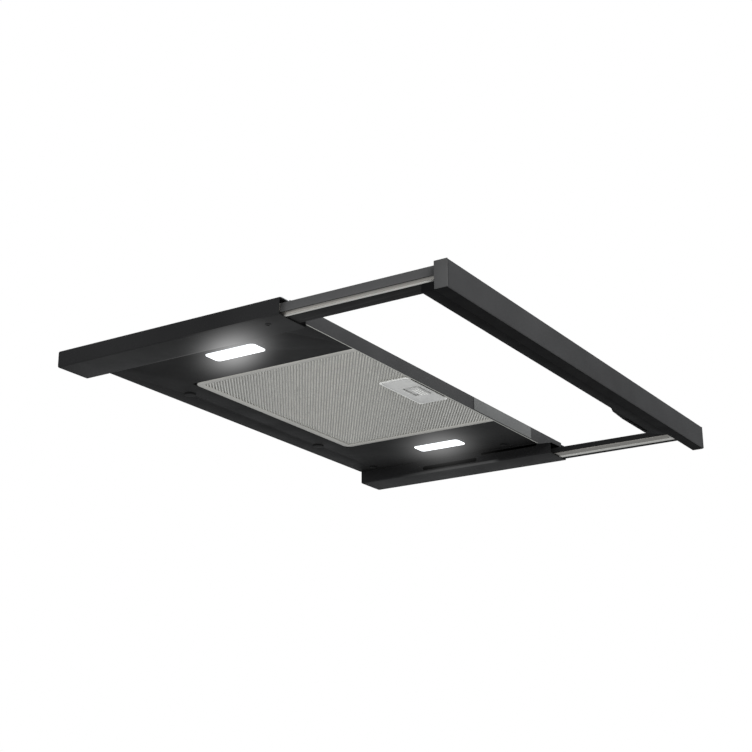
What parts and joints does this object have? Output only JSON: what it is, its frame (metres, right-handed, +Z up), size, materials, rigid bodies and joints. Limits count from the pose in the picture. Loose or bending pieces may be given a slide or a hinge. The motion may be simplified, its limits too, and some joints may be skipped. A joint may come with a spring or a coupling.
{
  "type": "under cabinet range hood",
  "caption": "Slim black under cabinet hood with a pull-out front bar on slides, a central filter, lamps, a fan above the pan and a top duct collar.",
  "frame": {"origin": "centre line of the flat top flange of the front fascia, the face that meets the cabinet's underside", "axes": "+X to the right across the hood, -Y towards the cook, +Z up"},
  "size_m": [0.598, 0.4454, 0.122],
  "materials": {
    "black_paint": "satin black powder coat",
    "bar_paint": "satin dark grey-black paint",
    "black_plastic": "fine-grained moulded black",
    "galvanised": "zinc-coated sheet with faint spangle",
    "slide_steel": "bright rolled steel",
    "aluminium": "satin",
    "grey_plastic": "satin moulded light grey",
    "blank_grey": "satin moulded dark grey",
    "white_lens": "opal diffusing lens, lit",
    "white_plastic": "moulded off-white",
    "motor_steel": "dark rolled steel",
    "circuit_green": "coated circuit board",
    "label_blue": "plastic film sleeve"
  },
  "bodies": {
    "hood_body": {"base_pan": "black_paint", "wing_left": "black_paint", "wing_right": "black_paint", "front_fascia": "bar_paint", "fascia_blank_plate": "blank_grey", "plenum": "galvanised", "blower_housing": "galvanised", "blower_cover": "galvanised", "scroll_wall": "galvanised", "fan_motor": "motor_steel", "exhaust_collar": "black_plastic", "damper_pin": "slide_steel", "terminal_box": "white_plastic", "terminal_cover": "white_plastic", "terminal_strip": "black_plastic", "cable_gland": "black_plastic", "run_capacitor": "label_blue", "lamp_driver": "white_plastic", "lamp_lens_left": "white_lens", "lamp_lens_right": "white_lens", "lamp_housing_left": "white_plastic", "lamp_housing_right": "white_plastic", "pan_screw_left_front": "black_plastic", "pan_screw_left_rear": "black_plastic", "pan_screw_right_front": "black_plastic", "pan_screw_right_rear": "black_plastic", "pan_plug_left": "black_plastic", "pan_plug_right": "black_plastic", "slide_outer_left": "slide_steel", "slide_outer_right": "slide_steel"},
    "visor": {"front_bar": "bar_paint", "bar_end_cap_left": "black_plastic", "bar_end_cap_right": "black_plastic", "bar_rear_panel": "black_plastic", "arm_screw_left": "slide_steel", "arm_screw_right": "slide_steel", "arm_left": "bar_paint", "arm_right": "bar_paint", "slide_rail_left": "slide_steel", "slide_rail_right": "slide_steel", "control_box": "black_plastic", "switch_board": "circuit_green"},
    "slide_link_left": {"slide_middle_left": "slide_steel"},
    "slide_link_right": {"slide_middle_right": "slide_steel"},
    "fan_wheel": {"impeller": "black_plastic", "motor_shaft": "slide_steel", "impeller_nut": "slide_steel"},
    "flap_left": {"damper_flap_left": "black_plastic"},
    "flap_right": {"damper_flap_right": "black_plastic"},
    "filter": {"filter_frame": "aluminium", "filter_mesh": "aluminium", "latch_housing": "grey_plastic"},
    "latch": {"latch_slider": "grey_plastic"},
    "key_off": {"button_off": "black_plastic"},
    "key_speed_low": {"button_speed_low": "black_plastic"},
    "key_speed_mid": {"button_speed_mid": "black_plastic"},
    "key_speed_high": {"button_speed_high": "black_plastic"},
    "key_light": {"button_light": "black_plastic"}
  },
  "joints": [
    {"name": "visor_slide", "type": "slide", "parent": "hood_body", "child": "visor", "axis": [0, -1, 0], "range_m": [-0.158, 0]},
    {"name": "left_link_slide", "type": "slide", "parent": "hood_body", "child": "slide_link_left", "axis": [0, -1, 0], "range_m": [-0.079, 0]},
    {"name": "right_link_slide", "type": "slide", "parent": "hood_body", "child": "slide_link_right", "axis": [0, -1, 0], "range_m": [-0.079, 0]},
    {"name": "impeller_spin", "type": "hinge", "parent": "hood_body", "child": "fan_wheel", "pos_m": [-0.08, 0.178, 0.028], "axis": [0, 0, 1], "continuous": true},
    {"name": "left_flap_swing", "type": "hinge", "parent": "hood_body", "child": "flap_left", "pos_m": [0.04, 0.196, 0.0746], "axis": [0, 1, 0], "range_deg": [0, 75]},
    {"name": "right_flap_swing", "type": "hinge", "parent": "hood_body", "child": "flap_right", "pos_m": [0.04, 0.196, 0.0746], "axis": [0, -1, 0], "range_deg": [0, 75]},
    {"name": "filter_swing", "type": "hinge", "parent": "hood_body", "child": "filter", "pos_m": [0, 0.2164, -0.0027], "axis": [1, 0, 0], "range_deg": [0, 75]},
    {"name": "latch_slide", "type": "slide", "parent": "filter", "child": "latch", "axis": [0, 1, 0], "range_m": [0, 0.006], "stiffness_N_per_m": 300},
    {"name": "press_off", "type": "slide", "parent": "visor", "child": "key_off", "axis": [0, 0, 1], "range_m": [0, 0.0015], "stiffness_N_per_m": 400},
    {"name": "press_speed_low", "type": "slide", "parent": "visor", "child": "key_speed_low", "axis": [0, 0, 1], "range_m": [0, 0.0015], "stiffness_N_per_m": 400},
    {"name": "press_speed_mid", "type": "slide", "parent": "visor", "child": "key_speed_mid", "axis": [0, 0, 1], "range_m": [0, 0.0015], "stiffness_N_per_m": 400},
    {"name": "press_speed_high", "type": "slide", "parent": "visor", "child": "key_speed_high", "axis": [0, 0, 1], "range_m": [0, 0.0015], "stiffness_N_per_m": 400},
    {"name": "press_light", "type": "slide", "parent": "visor", "child": "key_light", "axis": [0, 0, 1], "range_m": [0, 0.0015], "stiffness_N_per_m": 400}
  ],
  "couplings": [
    {"joint": "left_link_slide", "follows": "visor_slide", "ratio": 0.5},
    {"joint": "right_link_slide", "follows": "visor_slide", "ratio": 0.5}
  ]
}
